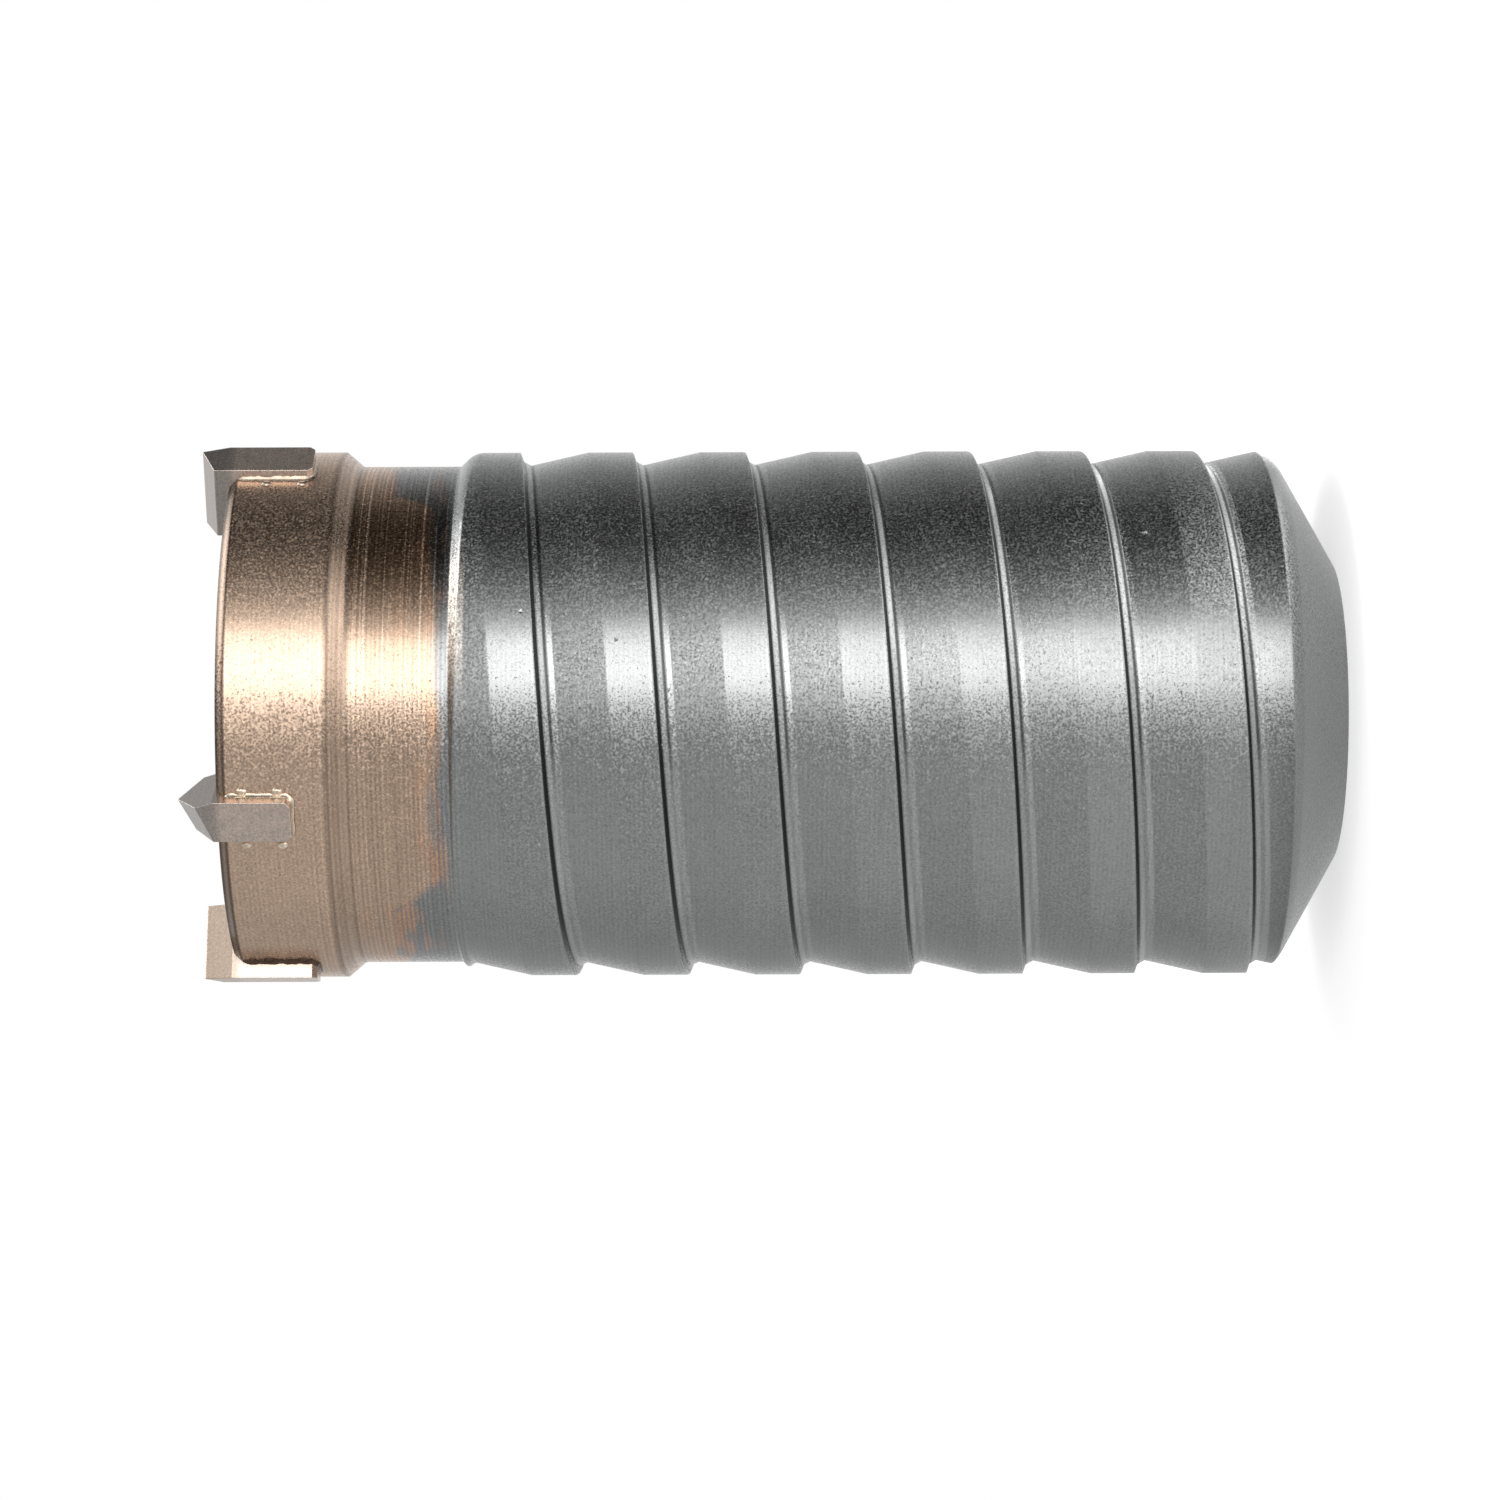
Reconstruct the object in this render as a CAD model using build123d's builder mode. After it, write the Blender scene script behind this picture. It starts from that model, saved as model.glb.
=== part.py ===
import os
from math import radians, tan

from build123d import *

# A percussion core crown for masonry: one turned and milled steel body with a spiral
# for the drilling dust, and carbide teeth brazed into slots in its rim.
# Millimetres. The crown stands on its back face: +Z runs from the back to the teeth,
# and the origin is the centre of the back face.

# Lengths of the turned body along its axis, from the back face to the rim
spiral_length = 77.7
neck_length = 8.8
head_cone_length = 1.5
head_length = 9.4
back_wall = 15.5

# Diameters, and how far the rest of the crown stands inside the circle that it cuts
cutting_diameter = 50.1
head_clearance = 1.525
crest_clearance = 1.6
neck_depth = 1.225
head_wall = 4.725
back_face_diameter = 27.0

# Edges and corners of the turned body
back_cone_angle = 30.0
back_crest_radius = 3.0
spiral_front_angle = 45.0
spiral_front_radius = 2.0
neck_corner_radius = 0.6
rim_chamfer = 0.7
rim_inner_chamfer = 0.4
core_floor_chamfer = 1.0

# Connecting thread in the back wall: its tapping bore and the lead-in at both ends
thread_diameter = 16.0
thread_pitch = 2.0
thread_lead_in = 1.2

# Spiral groove, one right-hand start: its depth is to the valley before the valley is
# broken, and its first crest lies this far behind the neck
groove_pitch = 10.0
groove_depth = 1.27
crest_width = 3.9
flank_angle = 20.0
valley_break = 0.5
first_crest_setback = 5.15

# Carbide teeth: blank, seat and ground faces
tooth_thickness = 3.84
tooth_length = 9.86
tooth_inner_overhang = 0.6
tooth_rear_chamfer = 0.45
side_relief_angle = 9.7
rake_angle = 18.0
rake_projection = 0.2
pointed_projection = 3.45
pointed_roof_angle = 33.0
pointed_clearance_angle = 27.5
straight_projection = 2.55
straight_clearance_angle = 22.5

# Layer of filler metal between a tooth and its slot
braze_gap = 0.2

# Seats round the rim: direction from +X in degrees, and the kind of tooth
tooth_seats = [
    (-162.0, "straight"),
    (-112.2, "pointed"),
    (-25.0, "straight"),
    (49.3, "pointed"),
    (123.7, "straight"),
]

# Worked out from the sizes above
neck_rear_height = spiral_length
neck_front_height = neck_rear_height + neck_length
head_rear_height = neck_front_height + head_cone_length
rim_height = head_rear_height + head_length
first_crest_height = spiral_length - first_crest_setback
cutting_radius = cutting_diameter / 2
head_radius = cutting_radius - head_clearance
crest_radius = cutting_radius - crest_clearance
neck_radius = crest_radius - neck_depth
core_radius = head_radius - head_wall
back_face_radius = back_face_diameter / 2
thread_bore_radius = (thread_diameter - thread_pitch) / 2
back_cone_height = (crest_radius - back_face_radius) * tan(radians(back_cone_angle))
shoulder_height = neck_depth / tan(radians(spiral_front_angle))
spiral_front_height = neck_rear_height - shoulder_height
half_thickness = tooth_thickness / 2
half_slot = half_thickness + braze_gap
tooth_outer_edge = (cutting_radius**2 - half_thickness**2) ** 0.5
tooth_inner_edge = core_radius - tooth_inner_overhang
tip_heights = {
    "pointed": rim_height + pointed_projection,
    "straight": rim_height + straight_projection,
}
clearance_angles = {"pointed": pointed_clearance_angle, "straight": straight_clearance_angle}
rake_start_height = rim_height + rake_projection
slot_rear_chamfer = tooth_rear_chamfer + braze_gap * (2 - 2**0.5)
overrun = 1.0


def corner(sketch, along, across):
    """The corner of a sketch nearest to a point of its plane."""
    return sketch.vertices().sort_by_distance(Vector(along, across))[0]


# Spiral body: the groove is cut into a plain bar, and the bar is then turned to its
# coned back and the sloping shoulder at the neck
with BuildPart() as spiral_body:
    groove_start = -groove_pitch / 2
    groove_length = neck_rear_height + 2 * groove_pitch
    with Locations((0, 0, groove_start + groove_length / 2)):
        Cylinder(radius=crest_radius, height=groove_length + 2 * groove_pitch)

    # The groove is a saw tooth in section: a steep flank that faces the back, a broken
    # valley and a gentle ramp up to the next crest. Its mouth stands a lip above the crest.
    mouth = groove_pitch - crest_width
    flank_run = groove_depth * tan(radians(flank_angle))
    ramp_slope = groove_depth / (mouth - flank_run)
    lip = groove_depth / 3
    start_turn = 360 * (groove_start - first_crest_height) / groove_pitch
    start_plane = Plane.XY.offset(groove_start).rotated((0, 0, start_turn))
    with BuildLine(start_plane) as groove_path:
        Helix(pitch=groove_pitch, height=groove_length, radius=crest_radius)
    section_plane = Plane(start_plane.origin, x_dir=start_plane.x_dir, z_dir=-start_plane.y_dir)
    with BuildSketch(section_plane) as groove_section:
        with BuildLine():
            Polyline(
                (crest_radius + lip, lip * tan(radians(flank_angle))),
                (crest_radius - groove_depth, -flank_run),
                (crest_radius + lip, -mouth - lip / ramp_slope),
                close=True,
            )
        make_face()
        chamfer(corner(groove_section, crest_radius - groove_depth, -flank_run), valley_break)
    sweep(path=groove_path.line, is_frenet=True, mode=Mode.SUBTRACT)

    with BuildSketch(Plane.XZ) as outline:
        with BuildLine():
            Polyline(
                (0, 0),
                (back_face_radius, 0),
                (crest_radius, back_cone_height),
                (crest_radius, spiral_front_height),
                (neck_radius, neck_rear_height),
                (0, neck_rear_height),
                close=True,
            )
        make_face()
        fillet(corner(outline, crest_radius, back_cone_height), back_crest_radius)
        fillet(corner(outline, crest_radius, spiral_front_height), spiral_front_radius)
    revolve(axis=Axis.Z, mode=Mode.INTERSECT)

# Turned body: the spiral with its neck and head, bored from both ends
with BuildPart() as turned_body:
    add(spiral_body.part)
    with BuildSketch(Plane.XZ) as front_outline:
        with BuildLine():
            Polyline(
                (0, spiral_front_height),
                (neck_radius, spiral_front_height),
                (neck_radius, neck_front_height),
                (head_radius, head_rear_height),
                (head_radius, rim_height),
                (0, rim_height),
                close=True,
            )
        make_face()
        fillet(corner(front_outline, neck_radius, neck_front_height), neck_corner_radius)
        chamfer(corner(front_outline, head_radius, rim_height), rim_chamfer)
    revolve(axis=Axis.Z)

    # The core cavity runs from the rim down to the back wall
    with BuildSketch(Plane.XZ) as cavity:
        with BuildLine():
            Polyline(
                (0, back_wall),
                (core_radius, back_wall),
                (core_radius, rim_height - rim_inner_chamfer),
                (core_radius + rim_inner_chamfer, rim_height),
                (0, rim_height),
                close=True,
            )
        make_face()
        chamfer(corner(cavity, core_radius, back_wall), core_floor_chamfer)
    revolve(axis=Axis.Z, mode=Mode.SUBTRACT)

    # The tapping bore goes through the back wall
    with BuildSketch(Plane.XZ):
        with BuildLine():
            Polyline(
                (0, 0),
                (thread_bore_radius + thread_lead_in, 0),
                (thread_bore_radius, thread_lead_in),
                (thread_bore_radius, back_wall - thread_lead_in),
                (thread_bore_radius + thread_lead_in, back_wall),
                (0, back_wall),
                close=True,
            )
        make_face()
    revolve(axis=Axis.Z, mode=Mode.SUBTRACT)


def blank_outline(kind, half_width, rear_chamfer):
    """Draws a tooth blank or its slot seen along the radius, open past the rim."""
    rear = tip_heights[kind] - tooth_length + half_thickness - half_width
    with BuildSketch() as side:
        with BuildLine():
            Polyline(
                (-half_width, rear),
                (half_width, rear),
                (half_width, rim_height + overrun),
                (-half_width, rim_height + overrun),
                close=True,
            )
        make_face()
        chamfer(corner(side, -half_width, rear), rear_chamfer)
        chamfer(corner(side, half_width, rear), rear_chamfer)
    return side.sketch


def slot(kind):
    """The cutter of one slot at seat angle zero, through the wall of the rim."""
    with BuildPart() as cutter:
        with BuildSketch(Plane.YZ.offset(core_radius - overrun)):
            add(blank_outline(kind, half_slot, slot_rear_chamfer))
        extrude(amount=head_radius - core_radius + 2 * overrun)
    return cutter.part


def braze(kind):
    """The filler metal round three sides of a tooth, flush with the turned body."""
    with BuildPart() as seam:
        with BuildSketch(Plane.YZ.offset(core_radius - overrun)):
            add(blank_outline(kind, half_slot, slot_rear_chamfer))
            add(blank_outline(kind, half_thickness, tooth_rear_chamfer), mode=Mode.SUBTRACT)
        extrude(amount=head_radius - core_radius + 2 * overrun)
        add(turned_body.part, mode=Mode.INTERSECT)
    return seam.part


def tooth(kind):
    """One carbide tooth at seat angle zero, with its cutting side towards +Y."""
    tip = tip_heights[kind]
    rear = tip - tooth_length
    clearance = tan(radians(clearance_angles[kind]))
    ridge = half_thickness - (tip - rake_start_height) * tan(radians(rake_angle))
    trailing_height = tip - (ridge + half_thickness) * clearance
    with BuildPart() as blank:
        with BuildSketch(Plane.YZ.offset(tooth_inner_edge)) as side:
            with BuildLine():
                Polyline(
                    (-half_thickness, rear),
                    (half_thickness, rear),
                    (half_thickness, rake_start_height),
                    (ridge, tip),
                    (-half_thickness, trailing_height),
                    close=True,
                )
            make_face()
            chamfer(corner(side, -half_thickness, rear), tooth_rear_chamfer)
            chamfer(corner(side, half_thickness, rear), tooth_rear_chamfer)
        extrude(amount=tooth_outer_edge - tooth_inner_edge)

        # The outer side falls away behind the cutting edge
        outer_side = Plane(
            origin=(tooth_outer_edge, half_thickness, rear),
            z_dir=(1, -tan(radians(side_relief_angle)), 0),
        )
        split(bisect_by=outer_side, keep=Keep.BOTTOM)

        # A pointed tooth has a roof over its ridge
        if kind == "pointed":
            roof = tan(radians(pointed_roof_angle))
            middle = (tooth_inner_edge + tooth_outer_edge) / 2
            for side_sign in (-1, 1):
                roof_side = Plane(origin=(middle, ridge, tip), z_dir=(side_sign * roof, -clearance, 1))
                split(bisect_by=roof_side, keep=Keep.BOTTOM)
    return blank.part


# Crown body: one slot for each tooth is milled through the rim
with BuildPart() as crown_body:
    add(turned_body.part)
    for angle, kind in tooth_seats:
        with Locations(Rotation(0, 0, angle)):
            add(slot(kind), mode=Mode.SUBTRACT)
crown_body.part.label = "crown_body"

os.makedirs("parts", exist_ok=True)
export_step(crown_body.part, "parts/crown_body.step")

# Teeth and their layers of filler metal, numbered round the rim
for number, (angle, kind) in enumerate(tooth_seats, start=1):
    with BuildPart() as carbide_tooth:
        with Locations(Rotation(0, 0, angle)):
            add(tooth(kind))
    carbide_tooth.part.label = f"carbide_tooth_{number}"
    export_step(carbide_tooth.part, f"parts/carbide_tooth_{number}.step")

    with BuildPart() as braze_seam:
        with Locations(Rotation(0, 0, angle)):
            add(braze(kind))
    braze_seam.part.label = f"braze_seam_{number}"
    export_step(braze_seam.part, f"parts/braze_seam_{number}.step")
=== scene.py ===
# %% [markdown]
# A hammer core bit cuts a round hole in masonry and keeps the core inside. It is one hollow
# steel crown with a spiral on its outside, which carries the dust away, and five carbide
# teeth brazed into its rim. This lesson dresses that crown: camera, studio, three metals
# with their node groups, and the small things that a lathe drawing leaves out, which are the
# thread in the back wall, the braze that runs out of the seams and the punch marks by it.

# %% Load the frame
import math
import random

import bmesh
import bpy
from mathutils import Matrix, Vector


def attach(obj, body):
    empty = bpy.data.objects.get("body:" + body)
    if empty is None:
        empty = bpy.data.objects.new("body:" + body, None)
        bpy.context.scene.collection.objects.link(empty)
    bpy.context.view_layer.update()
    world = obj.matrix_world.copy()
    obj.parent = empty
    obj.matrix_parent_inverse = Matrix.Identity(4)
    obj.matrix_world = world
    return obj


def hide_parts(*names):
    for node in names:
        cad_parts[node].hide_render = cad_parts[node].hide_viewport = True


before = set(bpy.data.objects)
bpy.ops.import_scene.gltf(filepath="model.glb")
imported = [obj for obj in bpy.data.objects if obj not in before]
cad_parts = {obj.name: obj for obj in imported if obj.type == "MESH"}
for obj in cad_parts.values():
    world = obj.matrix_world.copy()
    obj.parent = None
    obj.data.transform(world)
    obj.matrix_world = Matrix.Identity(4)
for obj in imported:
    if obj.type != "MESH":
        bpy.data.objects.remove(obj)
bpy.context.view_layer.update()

MM = 0.001
scene = bpy.context.scene
scene.view_settings.view_transform = "Standard"
print("solids:", ", ".join(sorted(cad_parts)))

# %% [markdown]
# The camera comes first, because every later choice is judged through it. The photograph
# looks square at the side of the crown, which lies with its teeth to the left. Here the
# crown stands on its back face, so the camera is rolled instead: its right is down the
# crown's axis. Two things in the photograph give its place. The spiral repeats every 10 mm,
# which sets the scale, and the rim shows as a bent line, which sets the distance.

# %% Camera
PHOTO_WIDTH = 1500
SENSOR = 36 * MM
LENS = 105.07 * MM
CAMERA_DISTANCE = 393.7 * MM
FOOT_HEIGHT = 52.8 * MM
FOOT_PIXEL = 741
CAMERA_DROP = 3.3 * MM
CAMERA_ROLL = math.radians(0.18)


def make_camera():
    """A long lens square to the axis, rolled so that the crown's teeth point left."""
    data = bpy.data.cameras.new("camera")
    data.sensor_width = SENSOR / MM
    data.lens = LENS / MM
    data.shift_x = (PHOTO_WIDTH / 2 - FOOT_PIXEL) / PHOTO_WIDTH
    data.clip_start = 10 * MM
    camera = bpy.data.objects.new("camera", data)
    scene.collection.objects.link(camera)
    right = Vector((-math.sin(CAMERA_ROLL), 0, -math.cos(CAMERA_ROLL)))
    up = Vector((math.cos(CAMERA_ROLL), 0, -math.sin(CAMERA_ROLL)))
    turn = Matrix((right, up, right.cross(up))).transposed().to_4x4()
    camera.matrix_world = Matrix.Translation((-CAMERA_DROP, -CAMERA_DISTANCE, FOOT_HEIGHT)) @ turn
    scene.camera = camera
    return camera


camera = make_camera()
print("camera stands", round(CAMERA_DISTANCE / MM), "mm from the axis")

# %% [markdown]
# A few short helpers keep the node trees readable. Each material and each group below is
# built with them, so a line reads as one step: which node, what goes in, what comes out.

# %% Helpers for node trees
def add_node(tree, kind, inputs=None, **settings):
    """Adds a node, sets its properties, and fills or links its inputs by name or number."""
    node = tree.nodes.new(kind)
    for name, value in settings.items():
        setattr(node, name, value)
    for key, value in (inputs or {}).items():
        if isinstance(value, bpy.types.NodeSocket):
            tree.links.new(value, node.inputs[key])
        else:
            node.inputs[key].default_value = value
    return node


def math_node(tree, operation, *values, clamp=False):
    """One step of arithmetic: its values are numbers or sockets."""
    inputs = dict(enumerate(values))
    return add_node(tree, "ShaderNodeMath", inputs, operation=operation, use_clamp=clamp).outputs[0]


def product(tree, first, *others):
    """Some values multiplied together."""
    for other in others:
        first = math_node(tree, "MULTIPLY", first, other)
    return first


def vector_node(tree, operation, inputs, output="Vector"):
    """One step of arithmetic with vectors. A length or a dot product comes out as a Value."""
    return add_node(tree, "ShaderNodeVectorMath", inputs, operation=operation).outputs[output]


def axes_of(tree, position):
    """The X, Y and Z of a position."""
    return add_node(tree, "ShaderNodeSeparateXYZ", {0: position}).outputs


def ranged(tree, value, low, high):
    """A value from 0 to 1 stretched to run from low to high."""
    return math_node(tree, "MULTIPLY_ADD", value, high - low, low)


def contrasted(tree, value, contrast):
    """A value multiplied and shifted as its contrast says, and cut off at 0 and 1."""
    return math_node(tree, "MULTIPLY_ADD", value, *contrast, clamp=True)


# A Mix node has sockets for each kind of data. These are the numbers of those for colours.
MIX_FACTOR, MIX_FIRST, MIX_SECOND, MIX_RESULT = 0, 6, 7, 2


def mix_colors(tree, factor, first, second):
    """A mix of two colours, each a plain tuple or a socket."""
    colors = [(*color, 1) if isinstance(color, tuple) else color for color in (first, second)]
    inputs = {MIX_FACTOR: factor, MIX_FIRST: colors[0], MIX_SECOND: colors[1]}
    return add_node(tree, "ShaderNodeMix", inputs, data_type="RGBA").outputs[MIX_RESULT]


def noise(tree, position, scale, detail=2.0, roughness=0.5):
    """A noise texture's value."""
    inputs = {"Vector": position, "Scale": scale, "Detail": detail, "Roughness": roughness}
    return add_node(tree, "ShaderNodeTexNoise", inputs).outputs[0]


def curve(tree, value, points, top=1.0):
    """A line through points, each a value and its result. Results run from 0 to top."""
    first, last = points[0][0], points[-1][0]
    limits = {0: value, 1: first, 2: last}
    share = add_node(tree, "ShaderNodeMapRange", limits, clamp=True).outputs[0]
    node = add_node(tree, "ShaderNodeFloatCurve", {"Value": share})
    line = node.mapping.curves[0]
    for _ in points[2:]:
        line.points.new(0.5, 0.5)
    for point, (place, height) in zip(line.points, points):
        point.location = ((place - first) / (last - first), height / top)
        point.handle_type = "VECTOR"
    node.mapping.update()
    return math_node(tree, "MULTIPLY", node.outputs[0], top)


def emptied_material(name):
    """A new material with no node in its tree, and that tree."""
    material = bpy.data.materials.new(name)
    material.use_nodes = True
    material.node_tree.nodes.clear()
    return material, material.node_tree


def seen_directly(tree):
    """1 for rays from the camera, from a gloss or through glass, and 0 for the others."""
    path = add_node(tree, "ShaderNodeLightPath").outputs
    gloss = math_node(tree, "MAXIMUM", path["Is Glossy Ray"], path["Is Transmission Ray"])
    return math_node(tree, "MAXIMUM", path["Is Camera Ray"], gloss)


print("helpers for node trees are ready")

# %% [markdown]
# Metal shows its surroundings, so the studio is half of the material. It starts with a white
# room. The camera and the reflections see it at full white, and matt surfaces get less light
# from it, so that the floor's shadow isn't washed out.

# %% White room
ROOM_LEVEL = 0.55
WHITE = (1, 1, 1, 1)


def make_room():
    """White to the camera and in reflections, and dimmer as a light on matt surfaces."""
    world = bpy.data.worlds.new("room")
    world.use_nodes = True
    scene.world = world
    tree = world.node_tree
    tree.nodes.clear()
    dim = add_node(tree, "ShaderNodeBackground", {"Color": WHITE, "Strength": ROOM_LEVEL})
    white = add_node(tree, "ShaderNodeBackground", {"Color": WHITE, "Strength": 1.0})
    inputs = {0: seen_directly(tree), 1: dim.outputs[0], 2: white.outputs[0]}
    mix = add_node(tree, "ShaderNodeMixShader", inputs)
    add_node(tree, "ShaderNodeOutputWorld", {"Surface": mix.outputs[0]})


make_room()
print("room level on matt surfaces:", ROOM_LEVEL)

# %% [markdown]
# A soft box a little above the lens burns the bright band along the crown, and a second one
# beyond the teeth lights the shoulder and the edge of the rim. Blender asks for the power of
# an area light. Here it is worked out from the box's size and from how bright its face has to
# be, so a box can be resized and still looks as bright in the metal.

# %% Soft boxes
BOX_ANGLE = 20
BOX_DISTANCE = 360 * MM
BOX_SPREAD = 27
BOX_LOW = 4 * MM
BOX_HIGH = 188 * MM
BOX_RADIANCE = 3.0
END_BOX_PLACE = Vector((151, 126, 448)) * MM
END_BOX_TARGET = Vector((0, 0, 78)) * MM
END_BOX_SIZE = (250 * MM, 250 * MM)
END_BOX_RADIANCE = 3.0


def around_axis(angle, distance, height):
    """A point round the axis: angle 0 is at the camera, and 90 is over the crown."""
    turn = math.radians(angle)
    return Vector((distance * math.sin(turn), -distance * math.cos(turn), height))


def make_soft_box(name, place, target, size, radiance):
    """A lit rectangle that faces its target, as bright as its radiance says."""
    width, height = size
    data = bpy.data.lights.new(name, "AREA")
    data.shape = "RECTANGLE"
    data.size = width
    data.size_y = height
    data.energy = radiance * math.pi * width * height
    lamp = bpy.data.objects.new(name, data)
    scene.collection.objects.link(lamp)
    away = (place - target).normalized()
    side = Vector((0, 0, 1)).cross(away).normalized()
    turn = Matrix((side, away.cross(side), away)).transposed().to_4x4()
    lamp.matrix_world = Matrix.Translation(place) @ turn
    lamp.visible_camera = False
    return lamp


box_middle = (BOX_LOW + BOX_HIGH) / 2
box_width = 2 * BOX_DISTANCE * math.tan(math.radians(BOX_SPREAD / 2))
box_size = (box_width, BOX_HIGH - BOX_LOW)
box_place = around_axis(BOX_ANGLE, BOX_DISTANCE, box_middle)
box_target = Vector((0, 0, box_middle))
front_box = make_soft_box("front_box", box_place, box_target, box_size, BOX_RADIANCE)
end_box = make_soft_box("end_box", END_BOX_PLACE, END_BOX_TARGET, END_BOX_SIZE, END_BOX_RADIANCE)
print("soft boxes:", front_box.name, end_box.name)

# %% [markdown]
# Between the boxes, a photographer puts grey cloth where the metal would show the room. This
# screen starts on the floor beside the crown, where the steep walls of the groove see it,
# stands round the front and closes overhead. It is dark over the crown, which gives the dark
# band above the bright one, and light grey below it. Its grey is an attribute of its points,
# which is simpler than a texture for something so smooth. Only reflections see it.

# %% Graded screen
# Each row is an angle round the axis and how light the screen is there in its five parts: by
# the crown's foot, what its back sees, what its front sees, higher up and overhead.
SCREEN_ARC = [
    (-165, 0.80, 1.00, 1.00, 0.80, 0.65),
    (-155, 0.75, 0.75, 0.75, 0.65, 0.65),
    (-146, 0.72, 0.55, 0.55, 0.60, 0.65),
    (-110, 0.72, 0.56, 0.54, 0.60, 0.75),
    (-87, 0.75, 0.74, 0.60, 0.62, 0.75),
    (-65, 0.70, 0.84, 0.58, 0.60, 0.70),
    (-30, 0.68, 0.84, 0.56, 0.60, 0.60),
    (-18, 0.70, 0.68, 0.50, 0.55, 0.55),
    (-6, 0.80, 0.85, 0.68, 0.60, 0.50),
    (3, 1.05, 1.35, 1.35, 0.85, 0.45),
    (21, 1.70, 1.00, 1.00, 1.20, 0.45),
    (38, 2.50, 1.00, 1.00, 1.60, 0.60),
    (46, 2.50, 0.62, 0.62, 1.90, 0.90),
    (54, 2.40, 0.36, 0.36, 2.20, 1.20),
    (64, 2.10, 0.17, 0.20, 3.00, 2.20),
    (78, 1.20, 0.05, 0.08, 3.20, 3.00),
    (97, 0.90, 0.05, 0.08, 2.40, 3.00),
    (110, 1.30, 0.20, 0.20, 1.20, 2.60),
    (124, 2.30, 0.38, 0.40, 0.80, 1.60),
    (136, 2.60, 0.60, 0.60, 0.80, 1.00),
    (150, 2.50, 0.85, 0.85, 0.90, 0.60),
    (160, 1.50, 1.00, 1.00, 1.00, 0.60),
]
NEAR, BACK, FRONT, HIGH, OVERHEAD = 1, 2, 3, 4, 5
# Each row is a ring of the screen: its distance from the axis and its height in millimetres,
# two parts or plain levels, the share of the second, and the level behind the front box.
SCREEN_ROWS = [
    (26, 0.3, NEAR, NEAR, 0.0, None),
    (78, 0.3, NEAR, NEAR, 0.0, None),
    (85, 0.3, BACK, BACK, 0.0, 2.5),
    (420, 0.3, BACK, BACK, 0.0, 2.5),
    (420, 25, BACK, FRONT, 0.1, 1.0),
    (420, 75, BACK, FRONT, 1.0, 1.0),
    (420, 140, BACK, FRONT, 0.9, 1.0),
    (420, 200, BACK, FRONT, 0.35, 1.0),
    (420, 230, BACK, FRONT, 0.1, 1.0),
    (420, 262, BACK, FRONT, 0.7, 1.0),
    (420, 370, FRONT, FRONT, 0.0, 1.0),
    (420, 400, HIGH, HIGH, 0.0, None),
    (420, 470, HIGH, HIGH, 0.0, None),
    (330, 600, OVERHEAD, OVERHEAD, 0.0, None),
    (170, 640, OVERHEAD, OVERHEAD, 0.0, None),
    (10, 650, 0.35, 0.35, 0.0, None),
]
SCREEN_BOX = (7, 33.5)
SCREEN_STEPS = 200


def arc_level(angle, part):
    """How light a part of the screen is at an angle. A plain level stays as it is."""
    if isinstance(part, float):
        return part
    for before, after in zip(SCREEN_ARC, SCREEN_ARC[1:]):
        if angle <= after[0]:
            share = (angle - before[0]) / (after[0] - before[0])
            return before[part] + (after[part] - before[part]) * share


def screen_level(angle, first, second, share, box_level):
    """How light a ring of the screen is at an angle: a share of the way between two parts."""
    if box_level and SCREEN_BOX[0] < angle < SCREEN_BOX[1]:
        return box_level
    low, high = arc_level(angle, first), arc_level(angle, second)
    return low + (high - low) * share


def make_screen():
    """A screen that starts on the floor near the crown, rises behind the lens and closes above."""
    first, last = SCREEN_ARC[0][0], SCREEN_ARC[-1][0]
    angles = [first + (last - first) * step / SCREEN_STEPS for step in range(SCREEN_STEPS + 1)]
    points = []
    levels = []
    for distance, height, *choice in SCREEN_ROWS:
        points += [around_axis(angle, distance * MM, height * MM) for angle in angles]
        levels += [screen_level(angle, *choice) for angle in angles]
    count = len(angles)
    faces = []
    for row in range(len(SCREEN_ROWS) - 1):
        for corner in range(row * count, (row + 1) * count - 1):
            faces.append((corner, corner + 1, corner + count + 1, corner + count))
    mesh = bpy.data.meshes.new("graded_screen")
    mesh.from_pydata(points, [], faces)
    mesh.attributes.new("level", "FLOAT", "POINT").data.foreach_set("value", levels)
    material, tree = emptied_material("graded_cloth")
    level = add_node(tree, "ShaderNodeAttribute", attribute_name="level").outputs["Fac"]
    glow = add_node(tree, "ShaderNodeEmission", {"Color": WHITE, "Strength": level})
    add_node(tree, "ShaderNodeOutputMaterial", {"Surface": glow.outputs[0]})
    mesh.materials.append(material)
    screen = bpy.data.objects.new("graded_screen", mesh)
    scene.collection.objects.link(screen)
    for kind in ("camera", "diffuse", "shadow", "transmission"):
        setattr(screen, "visible_" + kind, False)
    return screen


screen = make_screen()
print("screen:", len(screen.data.polygons), "faces")

# %% [markdown]
# The crown stands on a pale floor that takes its shadow. A matt floor alone would come out
# grey beside the white room, so it also glows a little where it is seen directly.

# %% Floor
FLOOR_RADIUS = 0.5
FLOOR_GLOW = 0.6
FLOOR_COLOR = (0.8, 0.8, 0.8, 1)
FLOOR_STEPS = 96


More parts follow.
